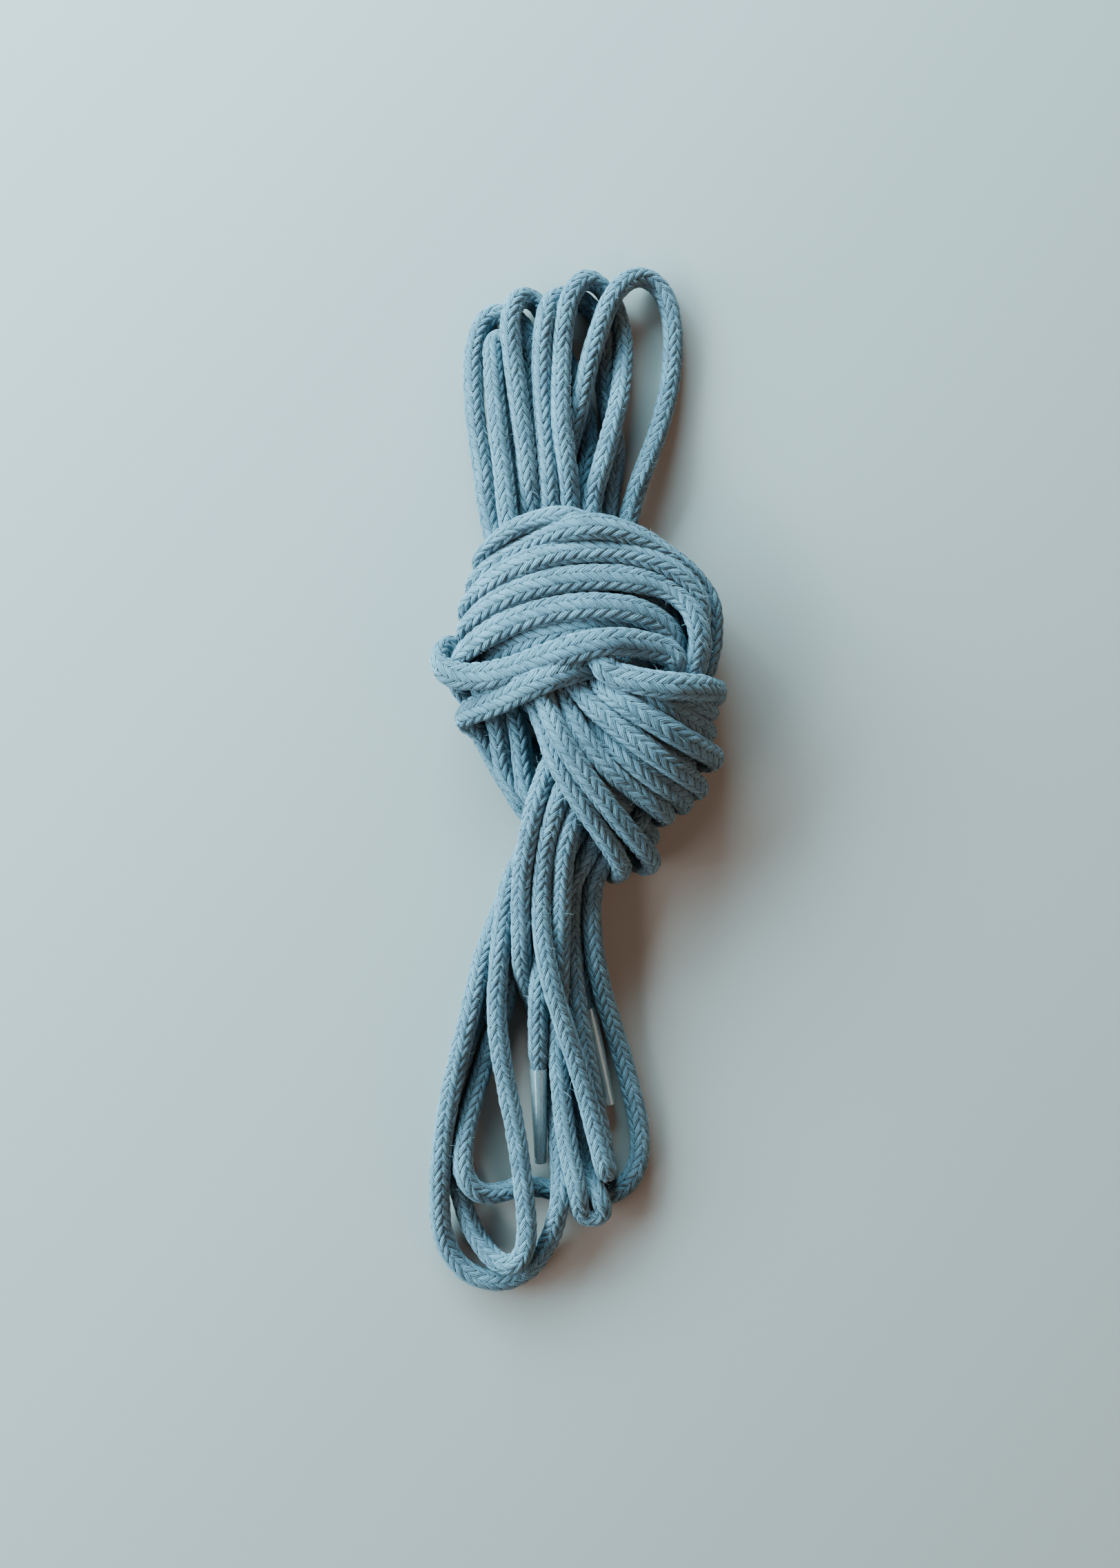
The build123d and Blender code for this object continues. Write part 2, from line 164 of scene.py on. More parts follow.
SLOPE = {
    1: [
        (-15.5, 58, 6.5), (-13, 50, 9), (-10.5, 40, 9.5), (-8.4, 30, 13), (-6.4, 22.5, 17),
        (-4.2, 15.5, 19.8), (-2, 8.6, 21), (1, 1.8, 21), (5.2, -5, 19.8), (9.4, -11, 16.8),
        (12.9, -16, 13), (14.8, -19.8, 8.5),
    ],
    2: [
        (-11.3, 57, 7.5), (-9.5, 48, 9.5), (-7.4, 38, 11.5), (-5.6, 29, 15), (-4, 21.5, 18),
        (-1.8, 15, 20.3), (1.4, 8.4, 21.6), (5.2, 2.6, 21.6), (9.8, -3.6, 20.3), (14.6, -9.4, 16.8),
        (19.2, -14.8, 12.8), (22, -18.2, 8),
    ],
    3: [
        (-9.2, 58, 3.4), (-7.5, 48, 5), (-5.2, 38, 6.5), (-3, 29, 9.5), (-1, 21.6, 12.4),
        (1.6, 14.6, 14.4), (4.8, 8, 15.2), (8.6, 2, 14.8), (13, -2.6, 13.4), (16.8, -6.2, 11),
        (20, -9.4, 8.6), (21.8, -11.8, 6.4),
    ],
    4: [
        (-6.2, 57, 7.5), (-5, 48, 9.8), (-3.2, 38, 12), (-1.6, 29, 15), (0.6, 20.8, 17.8),
        (3.6, 13.8, 19.6), (7.4, 7.6, 20), (11.8, 2.8, 19.6), (16.4, -0.8, 18), (20.2, -3.8, 15.2),
        (23.2, -6, 12), (24.8, -8, 8),
    ],
    5: [
        (-4, 57, 3.4), (-3, 48, 6), (-1.6, 38, 9), (-0.2, 29, 13.5), (1.4, 20.4, 18),
        (5.2, 14.2, 20.7), (10.2, 9.6, 22), (15.4, 5.6, 22), (20.8, 2, 20.2), (25.4, -1.2, 17),
        (28.2, -3.6, 12.8), (29.6, -5, 8),
    ],
    6: [
        (-1.8, 57, 7.5), (-1, 48, 10), (0.2, 38, 12), (1.6, 29, 15.5), (4, 22.6, 18.5),
        (7.8, 18.4, 21), (12.8, 14, 22.4), (18.2, 9.8, 22.4), (23.6, 5.8, 20.8), (28.4, 2.4, 17.8),
        (31.8, 0, 13), (33.2, -1.8, 8),
    ],
    8: [
        (2.2, 57, 7.6), (2.4, 48, 10), (2.8, 38, 12), (4.2, 30.5, 15.5), (7, 25, 19), (10.8, 21.8, 21.5),
        (15.4, 19, 22.8), (20.6, 15.6, 22.8), (26, 12, 21), (31, 8.8, 17.4), (35, 6.8, 13), (37, 5.6, 8.5),
    ],
    10: [
        (6.8, 57, 7.6), (6.2, 48, 10), (6, 38, 12), (7, 31, 15), (9.4, 26, 17.5), (12.8, 23.4, 19.3),
        (17, 21.4, 20.2), (21, 19.8, 20.3), (25, 17.8, 19.4), (29, 15, 17), (33, 12.6, 12.8),
        (35, 11.2, 8.5),
    ],
    12: [
        (15, 57, 5.5), (12.5, 48, 7.5), (10.5, 39, 10.5), (9, 32, 15), (8.6, 27.2, 19.5),
        (11.6, 25.3, 22), (16.2, 24, 23), (21.2, 22.8, 22.5), (27, 21.9, 20.7), (32, 21.3, 17.4),
        (35.8, 21.1, 13), (37.2, 21.3, 8.5),
    ],
}

BACK = {
    1: [
        (12.6, -21.6, 3.8), (6, -16.5, 2.4), (-1, -11, 2.4), (-6.6, -5.5, 2.4), (-11, 0, 2.4),
        (-14.4, 4.5, 2.4), (-16.8, 8.5, 2.8), (-18, 12, 4.2), (-21.6, 14.2, 6.4),
    ],
    2: [
        (20, -19.6, 3.2), (12, -15, 2.8), (3, -10.5, 4), (-4.6, -6.8, 5.4), (-9.4, -3, 6.2),
        (-12.2, 1.4, 6.6), (-13.7, 7, 6.8), (-13.6, 13.5, 6.8), (-17.5, 22, 5.2),
    ],
    3: [
        (20, -13, 5), (13, -11, 6.4), (4.5, -9.2, 7), (-3.2, -7, 7.4), (-7.7, -2.5, 8), (-8.7, 4, 8.8),
        (-9, 10.5, 9.4), (-11, 18, 8.8), (-18.5, 25, 7.4),
    ],
    4: [
        (23.2, -8.8, 3.4), (16, -8, 2.4), (7, -5.2, 2.4), (-1.5, 0, 2.4), (-7.5, 6.5, 2.6), (-12, 13.5, 3),
        (-16, 20.5, 3), (-20.5, 25.4, 3.4), (-23.6, 27.6, 5.6),
    ],
    5: [
        (29.5, -5.2, 3.4), (21, -4.8, 5.6), (12, -2, 6.6), (4, 3, 6.6), (-3.5, 8.5, 6.6), (-9.5, 15.5, 6.6),
        (-14.5, 23.5, 6.6), (-19.5, 31, 6.2), (-22.5, 35, 7),
    ],
    6: [
        (33, -3.4, 3.2), (24, -2.5, 2.4), (14, 0.5, 2.4), (5, 5, 2.4), (-3, 11.5, 2.4), (-9.5, 19.5, 2.6),
        (-15, 27.5, 2.8), (-20, 34, 3.5), (-23, 37, 6),
    ],
    8: [
        (35.5, 4.8, 3.4), (27, 5, 2.4), (17, 6.8, 2.4), (8, 10.5, 2.4), (0, 16, 2.4), (-7, 23.5, 2.6),
        (-13, 31.5, 2.8), (-18.5, 38, 3.5), (-22, 41, 6),
    ],
    10: [
        (33.5, 10.5, 3.4), (27, 11.5, 2.8), (18, 13.5, 2.4), (10, 17, 2.4), (3, 22.5, 2.4), (-4, 29.5, 2.6),
        (-10.5, 37.5, 2.8), (-16, 44.5, 3.2), (-19, 48.5, 5.6),
    ],
    12: [
        (36, 21.5, 3.4), (29, 20.5, 2.6), (20.5, 20.5, 2.4), (12.5, 23, 2.4), (5, 28, 2.4), (-2, 35, 2.4),
        (-8.5, 42.5, 2.6), (-14, 49, 3), (-17.5, 51.5, 5),
    ],
}

BAND = {
    1: [
        (-23, 16, 8.8), (-20.6, 17, 11.8), (-16.6, 18.4, 14.5), (-12, 20.4, 17.2), (-7, 22.7, 19.5),
        (-1.5, 25, 20), (5, 27.2, 18.8), (11, 28.8, 17.4), (17, 29.3, 15.8), (22, 28.3, 13.8),
        (25.2, 26.2, 11.8), (25.5, 23, 11),
    ],
    2: [
        (-24.4, 32.4, 6), (-27.4, 30.6, 8.4), (-27.8, 27.2, 10.4), (-24, 24.8, 13), (-18.5, 24.7, 16),
        (-12, 26, 19), (-4.5, 28.7, 21.8), (3, 30.9, 22.8), (11, 32.3, 22.4), (18.5, 32.4, 20.8),
        (24.5, 31, 17.7), (27.4, 28.4, 14.2),
    ],
    3: [
        (-24, 27.2, 4.6), (-21, 28.4, 5.6), (-16.5, 29.9, 8), (-11, 31.6, 11.4), (-5, 33.4, 14),
        (1.5, 34.8, 15.2), (8, 35.8, 15.4), (14, 36, 15), (19.5, 35.2, 13.6), (24.3, 33.2, 11.8),
        (27.6, 29.6, 10), (28, 26, 9.6),
    ],
    4: [
        (-23.6, 29.2, 9.6), (-21.2, 31.6, 12.4), (-16.6, 35, 15.6), (-10.6, 38, 18.6), (-4, 40, 20.2),
        (2, 41, 20.9), (9, 41.3, 20.8), (15.5, 40.8, 19.8), (21.2, 39, 17.7), (25.6, 35.8, 14.8),
        (27.6, 31.8, 12), (27.2, 27, 11),
    ],
    6: [
        (-22.6, 35.3, 8.5), (-20, 38.8, 11), (-15, 42.3, 14), (-9, 45, 16.6), (-3, 46.8, 18.2),
        (3, 47.8, 18.8), (9.5, 48.2, 18.8), (16.5, 47.8, 18), (22.5, 46.6, 16.2), (27.5, 43.8, 13.9),
        (31.4, 39, 12), (32.6, 31, 9.5),
    ],
    8: [
        (-22.2, 39.5, 8.5), (-20.2, 43.3, 10.5), (-16, 46.8, 12.8), (-11, 49.7, 14.8),
        (-5.5, 52.3, 16.4), (1, 53.8, 17.3), (8, 54.4, 17.3), (14.5, 54, 16.2), (20.5, 52.8, 14.8),
        (26, 50.4, 13), (31, 46, 10.8), (34, 40, 9),
    ],
    10: [
        (-19.8, 46.2, 7.5), (-17.4, 49, 10), (-12, 53, 12), (-6, 56.6, 14), (0, 59, 15.5),
        (6, 59.9, 15.5), (12, 59.3, 15), (18, 57.5, 14), (24, 54.2, 12.5), (29, 50, 10.5),
        (33, 45, 8.5), (34.8, 40, 7.5),
    ],
    12: [
        (-18, 49.6, 6), (-16.6, 53, 8.5), (-13.6, 56.6, 10.5), (-9.2, 59.7, 12.5), (-4, 61.4, 13.5),
        (0, 61.8, 12.5), (4, 61, 11.5), (12, 58.2, 9.6), (20, 54.6, 8), (28, 49.2, 6.4),
        (33, 43.6, 4.8), (34.6, 36, 5),
    ],
}

INNER = {
    1: [
        (22, 18, 10.6), (14, 11.5, 10.6), (5, 5, 10.6), (-1.5, -1.5, 9.4), (-5, -8.8, 7.2),
        (-7.6, -15.5, 4.4),
    ],
    2: [
        (25.5, 22.6, 13), (20.5, 17, 14.6), (13, 12.4, 14.8), (5.5, 8.2, 14.8), (0, 3.6, 13.4),
        (-3.4, -2.8, 11), (-5.4, -9.8, 9), (-7.8, -16.2, 7.6),
    ],
    3: [
        (24, 19, 10.6), (17, 10.5, 10.6), (9, 3, 10.6), (1.5, -3.5, 9.8), (-3.5, -10, 8.6),
        (-5.8, -16.5, 7.4),
    ],
    4: [
        (24, 21.4, 12.4), (17.5, 16, 13.6), (10, 12.4, 14.6), (3, 9.8, 15), (-1.6, 6, 14.8),
        (-3.6, 1, 14.2), (-5.1, -3.6, 13.6), (-6.3, -9, 12.8), (-7.6, -15.4, 12),
    ],
    5: [
        (25.5, 17, 10.6), (18, 7.5, 10.6), (9.5, -1, 9.2), (2, -8, 7.4), (-3, -13.8, 5.4),
        (-5.4, -18.6, 3.4),
    ],
    6: [
        (29, 20, 10.6), (22.5, 12.6, 12.6), (14.5, 8.2, 14.4), (7, 5.2, 15), (1.8, 1.6, 14.8),
        (-0.3, -3.4, 14.2), (-2, -8.4, 13.4), (-3.3, -14, 12.4),
    ],
    7: [
        (29.5, 17, 10.4), (23, 8.2, 12), (15.5, 3, 13.6), (9, -0.6, 14.2), (4.8, -4.2, 13.9),
        (2.5, -8.8, 13.1), (1.3, -15, 12),
    ],
    8: [
        (30, 22, 7.4), (26.5, 12, 9), (19.5, 4, 10.2), (11.5, -2.6, 10.2), (4.8, -7.8, 9.6),
        (0.6, -13, 8.5), (-1.3, -18, 7.4),
    ],
    9: [
        (30, 16, 7), (24.5, 6, 8), (16.5, -1.4, 8), (9, -7.6, 7.2), (3.2, -13, 5.4), (-0.2, -18, 3.5),
    ],
    10: [
        (31, 24, 7), (29.5, 12.5, 8.6), (23.5, 3, 9.8), (15.8, -4, 10), (9.6, -9.2, 9.6),
        (5.4, -14.6, 8.4), (3.5, -19, 7.4),
    ],
    11: [
        (31.5, 19, 8.4), (28.5, 7.4, 10), (22, -1.4, 11.2), (15.4, -7.4, 11), (10.6, -12, 10),
        (8.6, -17.2, 8.4),
    ],
    12: [
        (31.5, 27, 6.6), (31, 14, 7), (26.5, 3.6, 7.2), (19.4, -4.6, 7.2), (12.4, -10.8, 6),
        (6.8, -16.8, 3.8),
    ],
}

# A hidden leg lies in the furrow between its two neighbours, one layer lower at the front and one
# layer higher at the back.
LAYER = 4.1
HIDDEN_SLOPE = {7: (6, 8), 9: (8, 10), 11: (10, 12)}
HIDDEN_BACK = {7: (6, 8), 9: (8, 10), 11: (10, 12)}
HIDDEN_BAND = {5: (4, 6), 7: (6, 8), 9: (8, 10), 11: (10, 12)}
SHOWN_BACK = (1, 2, 3)
SHOWN_INNER = (4, 6, 7)

# How flat the lace is pressed, from 0 for round to 1 for the flattest. A leg has twelve points on
# the slope: the first four are under the band, and the rest have the leg's own value.
SLOPE_FLATNESS = {1: 0, 2: 0.1, 3: 0, 4: 0.1, 5: 0.3, 6: 0.25, 7: 0, 8: 0.45, 9: 0, 10: 0.3, 11: 0, 12: 0.8}
UNDER_BAND_FLATNESS = [0.2, 0.3, 0.4, 0.5]
BACK_FLATNESS = 0.3
BAND_FLATNESS = 1.0
INNER_FLATNESS = 0.5

# The whole lace from one aglet to the other. Each step is a loop or tail and the way along it, or
# the number of a leg and the way through the knot.
DOWN = 1
UP = -1
LACE_ORDER = [
    ("tail_1", -1), (8, UP), ("top_loop_5", 1), (10, DOWN), ("bottom_loop_4", -1), (6, UP),
    ("top_loop_4", 1), (11, DOWN), ("bottom_loop_3", 1), (3, UP), ("top_loop_2", -1), (2, DOWN),
    ("bottom_loop_2", 1), (5, UP), ("top_loop_1", -1), (1, DOWN), ("bottom_loop_1", 1), (4, UP),
    ("top_loop_3", 1), (9, DOWN), ("bottom_loop_5", -1), (7, UP), ("top_loop_6", 1), (12, DOWN),
    ("tail_2", 1),
]

# Settling. The listed points place every leg; a short relaxation then lets the strands push each other
# apart until they touch, as the laces in a tightened knot do. A hold is the share of its way home that a
# point goes back in each step. Heights have holds of their own: a strand that can be seen keeps its place
# as seen from above, and gives way in height first.
CONTACT_GAP = 0.95 * LACE_D
CONTACT_SEARCH = 3
SEARCH_EVERY = 10
SEARCH_BLOCK = 400
OWN_STRETCH = 2.6 * LACE_D
SETTLE_STEPS = 150
SAMPLES_PER_POINT = 5
PUSH_GAIN = 1.6
PUSH_SHARING = 0.6
SHOWN_HOLD = 0.16
HIDDEN_HOLD = 0.01
SHOWN_HEIGHT_HOLD = 0.03
HIDDEN_HEIGHT_HOLD = 0.012
GROOVE_HEIGHT_HOLD = 0.16
STIFFNESS = 0.10
SHOWN_STIFFNESS_LOSS = 0.75
ENDS_HELD = 3
REST_CLEARANCE = 0.05
# Leg 3 lies in the furrow between legs 2 and 4 once it is out from under the band.
GROOVE_LEG = 3
GROOVE_LOWEST_X = -3
GROOVE_HIGHEST_Y = 16


def seen(points):
    """Moves points along the camera's sight lines from the ground up to their own heights."""
    return [(x * (1 - z / CAMERA_HEIGHT), y * (1 - z / CAMERA_HEIGHT), z) for x, y, z in points]


def halfway(first, second, lift):
    """The points midway between two legs' points, moved up by lift."""
    return [tuple(np.add(a, b) / 2 + (0, 0, lift)) for a, b in zip(first, second)]


def run_of(table, hidden, leg, lift):
    """A leg's points in one of the knot's runs, its own or halfway between its neighbours'."""
    if leg in table:
        return table[leg]
    below, above = hidden[leg]
    return halfway(table[below], table[above], lift)


def leg_points(leg):
    """A leg's way through the knot from the top neck to the bottom neck, with each point's hold and
    flatness."""
    slope = run_of(SLOPE, HIDDEN_SLOPE, leg, -LAYER)
    back = run_of(BACK, HIDDEN_BACK, leg, LAYER)
    band = run_of(BAND, HIDDEN_BAND, leg, -LAYER)
    inner = INNER[leg]
    own = [SLOPE_FLATNESS[leg]] * (len(slope) - len(UNDER_BAND_FLATNESS))
    runs = [
        (slope, leg in SLOPE, UNDER_BAND_FLATNESS + own),
        (back, leg in SHOWN_BACK, [BACK_FLATNESS] * len(back)),
        (band, leg in BAND, [BAND_FLATNESS if leg in BAND else 0.0] * len(band)),
        (inner, leg in SHOWN_INNER, list(np.linspace(INNER_FLATNESS, 0, len(inner)))),
    ]
    points = []
    hold = []
    flat = []
    for run, shows, level in runs:
        points += seen(run)
        hold += [SHOWN_HOLD if shows else HIDDEN_HOLD] * len(run)
        flat += level
    return points, hold, flat


def route():
    """Every control point of the lace in order, how firmly it holds, how flat the lace is there,
    and the loop, tail or leg that it belongs to."""
    loops = {**TOP_LOOPS, **BOTTOM_LOOPS, **TAILS}
    points = [AGLET_TIPS["tail_1"]]
    hold = [SHOWN_HOLD]
    flat = [0.0]
    part = ["lace_end_1"]
    for what, way in LACE_ORDER:
        if what in loops:
            new = loops[what]
            firm = [SHOWN_HOLD] * len(new)
            level = [0.0] * len(new)
        else:
            new, firm, level = leg_points(what)
        points += new[::way]
        hold += firm[::way]
        flat += level[::way]
        part += [what] * len(new)
    points.append(AGLET_TIPS["tail_2"])
    hold.append(SHOWN_HOLD)
    flat.append(0.0)
    part.append("lace_end_2")
    return np.array(points, float), np.array(hold), np.array(flat), part


def spline_weights(count, per_point):
    """How much each control point counts at each sample of an open quadratic B-spline."""
    spans = count - 2
    at = np.linspace(0, spans, spans * per_point + 1)
    span = np.minimum(at.astype(int), spans - 1)
    t = at - span
    knots = np.clip(np.arange(count + 3) - 2, 0, spans).astype(float)
    i = span + 2
    k0, k1, k2, k3 = knots[i - 1], knots[i], knots[i + 1], knots[i + 2]
    u = span + t
    a = (k2 - u) ** 2 / ((k2 - k0) * (k2 - k1))
    c = (u - k1) ** 2 / ((k3 - k1) * (k2 - k1))
    weights = np.zeros((len(at), count))
    row = np.arange(len(at))
    weights[row, i - 2] = a
    weights[row, i] = c
    weights[row, i - 1] = 1 - a - c
    return weights


def near_pairs(places, along, reach):
    """Pairs of samples closer than reach that aren't neighbours along the lace."""
    found = []
    for start in range(0, len(places), SEARCH_BLOCK):
        block = slice(start, start + SEARCH_BLOCK)
        gap = np.linalg.norm(places[block, None] - places[None], axis=2)
        apart = np.abs(along[block, None] - along[None]) > OWN_STRETCH
        i, j = np.nonzero((gap < reach) & apart)
        i += start
        found.append(np.stack([i, j])[:, i < j])
    return np.concatenate(found, axis=1)


def distances(places):
    """How far along the line each of its points is."""
    gaps = np.linalg.norm(np.diff(places, axis=0), axis=1)
    return np.concatenate([[0], np.cumsum(gaps)])


def settle(points, hold, height_hold, stiffness):
    """The control points after the strands have pushed each other apart."""
    weights = spline_weights(len(points), SAMPLES_PER_POINT)
    share = weights.T / np.maximum(weights.sum(0)[:, None], 1e-6)
    home = points.copy()
    bend = (stiffness * (1 - hold / SHOWN_HOLD * SHOWN_STIFFNESS_LOSS))[1:-1, None]
    for step in range(SETTLE_STEPS):
        places = weights @ points
        if step % SEARCH_EVERY == 0:
            first, second = near_pairs(places, distances(places), CONTACT_GAP + CONTACT_SEARCH)
        between = places[first] - places[second]
        gap = np.maximum(np.linalg.norm(between, axis=1), 1e-6)
        push = np.clip(CONTACT_GAP - gap, 0, None)[:, None] * between / gap[:, None] * 0.5
        move = np.zeros_like(places)
        times = np.zeros(len(places))
        np.add.at(move, first, push)
        np.add.at(move, second, -push)
        np.add.at(times, first, push.any(axis=1))
        np.add.at(times, second, push.any(axis=1))
        move /= np.maximum(times, 1)[:, None] ** PUSH_SHARING
        points = points + share @ move * PUSH_GAIN
        middle = (points[:-2] + points[2:]) / 2
        points[1:-1] += bend * (middle - points[1:-1])
        points[:, :2] += hold[:, None] * (home - points)[:, :2]
        points[:, 2] += height_hold * (home - points)[:, 2]
        points[:, 2] = np.maximum(points[:, 2], LACE_R + REST_CLEARANCE)
        points[:ENDS_HELD] = home[:ENDS_HELD]
        points[-ENDS_HELD:] = home[-ENDS_HELD:]
    return points


def spline_object(name, points):
    """An open NURBS curve through its control points, given in millimetres."""
    data = bpy.data.curves.new(name, "CURVE")
    data.dimensions = "3D"
    data.resolution_u = 12
    spline = data.splines.new("NURBS")
    spline.points.add(len(points) - 1)
    for point, place in zip(spline.points, points):
        point.co = (*(place / 1000), 1)
    spline.order_u = 3
    spline.use_endpoint_u = True
    return bpy.data.objects.new(name, data)


def curve_points(obj):
    """The points of a curve as Blender evaluates it, in millimetres."""
    mesh = bpy.data.meshes.new_from_object(obj)
    line = np.array([v.co for v in mesh.vertices], float) * 1000
    bpy.data.meshes.remove(mesh)
    return line


class Line:
    """The lace's centre line with a frame that doesn't twist. It gives the place and two side
    directions at any distance along."""

    def __init__(self, points):
        self.along = distances(points)
        self.points = points
        self.length = self.along[-1]
        ahead = np.gradient(points, self.along, axis=0)
        ahead /= np.linalg.norm(ahead, axis=1)[:, None]
        side = np.cross(ahead[0], (0.0, 0.0, 1.0))
        side /= np.linalg.norm(side)
        sides = [side]
        for way in ahead[1:]:
            side = side - way * side.dot(way)
            side = side / np.linalg.norm(side)
            sides.append(side)
        self.ahead = ahead
        self.sides = np.array(sides)

    def read(self, table, at):
        return np.stack([np.interp(at, self.along, table[:, k]) for k in range(3)], axis=-1)

    def at(self, distance):
        place = self.read(self.points, distance)
        ahead = self.read(self.ahead, distance)
        ahead /= np.linalg.norm(ahead, axis=-1, keepdims=True)
        side = self.read(self.sides, distance)
        side -= ahead * (side * ahead).sum(-1, keepdims=True)
        side /= np.linalg.norm(side, axis=-1, keepdims=True)
        return place, side, np.cross(ahead, side)


def mesh_object(name, vertices, faces):
    """A mesh object from vertices in millimetres and an array of faces."""
    mesh = bpy.data.meshes.new(name)
    mesh.vertices.add(len(vertices))
    mesh.vertices.foreach_set("co", (vertices / 1000).astype(np.float32).ravel())
    corners = faces.shape[1]
    mesh.loops.add(faces.size)
    mesh.loops.foreach_set("vertex_index", faces.astype(np.int32).ravel())
    mesh.polygons.add(len(faces))
    mesh.polygons.foreach_set("loop_start", np.arange(len(faces), dtype=np.int32) * corners)
    mesh.polygons.foreach_set("use_smooth", np.full(len(faces), True))
    mesh.update(calc_edges=True)
    obj = bpy.data.objects.new(name, mesh)
    bpy.context.scene.collection.objects.link(obj)
    return obj


def ring_faces(rings, around):
    """Quads that join rings of vertices into an open tube."""
    ring = np.arange(rings - 1)[:, None] * around
    here = np.arange(around)[None]
    there = (here + 1) % around
    quads = np.stack([ring + here, ring + there, ring + around + there, ring + around + here], axis=-1)
    return quads.reshape(-1, 4)


control, hold, flat, part_of = route()
height_hold = np.where(hold == SHOWN_HOLD, SHOWN_HEIGHT_HOLD, HIDDEN_HEIGHT_HOLD)
in_groove = np.array([part == GROOVE_LEG for part in part_of]) & (hold == SHOWN_HOLD)
in_groove &= (control[:, 0] > GROOVE_LOWEST_X) & (control[:, 1] < GROOVE_HIGHEST_Y)
height_hold[in_groove] = GROOVE_HEIGHT_HOLD
# Only the legs in the knot resist bending here: the loops and tails keep their corners.
stiffness = np.where([isinstance(part, int) for part in part_of], STIFFNESS, 0.0)
control = settle(control, hold, height_hold, stiffness)
line = Line(curve_points(spline_object("lace_guide", control)))

# ---------------------------------------------------------------------------------------------
# The braid: eight columns of slanting stitches round the lace, alternately left and right, which
# make four rows of V's. Each row of mesh points zigzags with the stitches, so a stitch's edges
# follow the mesh.

COLUMNS = 8
PER_COLUMN = 5
AROUND = COLUMNS * PER_COLUMN
STITCH_PITCH = 2.65
ROWS_PER_STITCH = 8
ROW_STEP = STITCH_PITCH / ROWS_PER_STITCH
STITCH_RISE = 2.4
CROWN_R = LACE_R + 0.06
GROOVE = 0.36
UNEVEN_STITCHES = 0.09
STITCH_TABLE = 4096
# Across a column, from one edge: how high a stitch stands, and how wide it is.
FLOAT_HEIGHT = (0.55, 0.88, 1.0, 1.0, 0.88)
STITCH_WIDTH = (0.86, 0.96, 1.04, 1.04, 0.96)

# The lace rolls slowly about its own line, and its thickness varies a little.
ROLL = 0.9
ROLL_WAVELENGTH = 70.0
THICKNESS_CHANGE = 0.02
THICKNESS_WAVELENGTH = 23.0
LOWEST = 0.02

# Where the lace is pressed flat it is wider and thinner. It is flat against the knot, which is
# taken as an ellipsoid here.
WIDEN = 0.36
THIN = 0.14
KNOT_CENTRE = np.array((4.0, 22.0, 12.0))
KNOT_HALF = np.array((33.0, 44.0, 13.0))

AGLET_INSIDE_MOUTH_R = 1.74
AGLET_INSIDE_TIP_R = 1.05
MOUTH_OVERLAP = 0.5
MOUTH_RUN = 4.5

CORE_STEP = 1.2
CORE_AROUND = 10

weights = spline_weights(len(control), SAMPLES_PER_POINT)
sample_along = distances(weights @ control)
sample_along *= line.length / sample_along[-1]
sample_flat = weights @ flat
point_along = sample_along[np.argmax(weights, axis=0)]


def ease(share):
    """From 0 to 1 with a gentle start and end."""
    return share * share * (3 - 2 * share)


def slow_noise(at, wavelength, seed):
    """Smooth random values from -1 to 1 along the lace."""
    random = np.random.default_rng(seed)
    count = int(line.length / wavelength) + 4
    values = random.uniform(-1, 1, count)
    t = at / wavelength
    i = t.astype(int)
    f = ease(t - i)
    return values[i] * (1 - f) + values[i + 1] * f


def taper(at):
    """The lace's radius as a share of its full radius: it narrows into each aglet."""
    from_end = np.minimum(at, line.length - at)
    widening = (AGLET_INSIDE_MOUTH_R - AGLET_INSIDE_TIP_R) * from_end / AGLET_LENGTH
    inside = AGLET_INSIDE_TIP_R + widening
    opening = ease(np.clip((from_end - AGLET_LENGTH + MOUTH_OVERLAP) / MOUTH_RUN, 0, 1))
    return np.minimum(inside, AGLET_INSIDE_MOUTH_R) / LACE_R * (1 - opening) + opening


def stitch_relief(rows):
    """How far each point of each row lies below the braid's crowns, in millimetres."""
    column = np.arange(AROUND) // PER_COLUMN
    phase = rows[:, None] / ROWS_PER_STITCH - 0.5 * (column % 2)[None]
    before = rows[:, None] / ROWS_PER_STITCH - 0.5 * ((column - 1) % 2)[None]
    random = np.random.default_rng(7)
    uneven = random.uniform(-UNEVEN_STITCHES, UNEVEN_STITCHES, (STITCH_TABLE, COLUMNS))
    edge = (np.arange(AROUND) % PER_COLUMN == 0)[None]
    height = np.array(FLOAT_HEIGHT * COLUMNS)[None]
    reach = np.array(STITCH_WIDTH * COLUMNS)[None]

    def crown(value):
        from_middle = np.abs(2 * (value - np.floor(value)) - 1) / reach
        return np.clip(1 - from_middle**3, 0, 1)

    here = crown(phase)
    shape = np.where(edge, np.maximum(here, crown(before)), here) * height
    stitch = np.floor(phase).astype(int) % STITCH_TABLE
    own = uneven[stitch, np.broadcast_to(column[None], phase.shape)]
    return GROOVE * (shape - 1) + own * np.where(edge, 0, shape)


